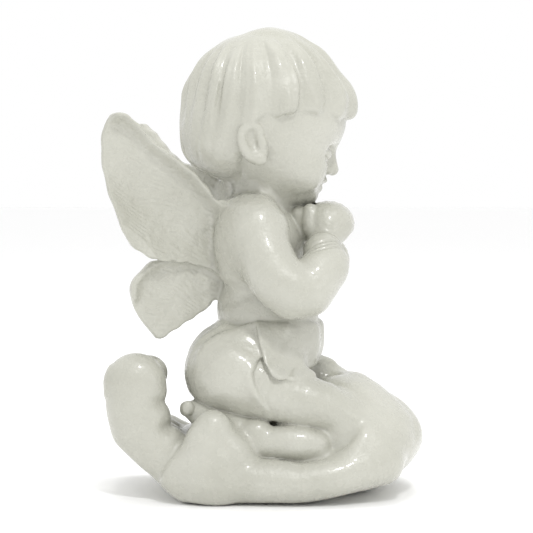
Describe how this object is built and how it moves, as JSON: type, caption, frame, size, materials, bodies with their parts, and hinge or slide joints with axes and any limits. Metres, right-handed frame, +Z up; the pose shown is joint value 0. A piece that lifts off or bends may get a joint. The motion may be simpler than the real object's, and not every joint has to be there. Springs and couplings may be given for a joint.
{
  "type": "angel figurine",
  "caption": "White resin figurine of a winged cherub kneeling in prayer in the palm of a cupped hand, resting on a small flat sole.",
  "frame": {"origin": "middle of the flat sole under the cupped hand, on the surface that the figurine stands on", "axes": "+X is the way the cherub faces, towards the wrist of the cupped hand; +Y is the cherub's left; +Z is up"},
  "size_m": [0.057, 0.038, 0.0835],
  "materials": {
    "white_resin": "hand-brushed gloss over solid off-white cast resin"
  },
  "bodies": {
    "root": {"palm": "white_resin", "thumb": "white_resin", "index_finger": "white_resin", "middle_finger": "white_resin", "ring_finger": "white_resin", "little_finger": "white_resin", "torso": "white_resin", "head": "white_resin", "hair": "white_resin", "right_arm": "white_resin", "left_arm": "white_resin", "right_hand": "white_resin", "left_hand": "white_resin", "right_leg": "white_resin", "left_leg": "white_resin", "loincloth": "white_resin", "right_upper_wing": "white_resin", "right_lower_wing": "white_resin", "left_upper_wing": "white_resin", "left_lower_wing": "white_resin"}
  },
  "joints": []
}
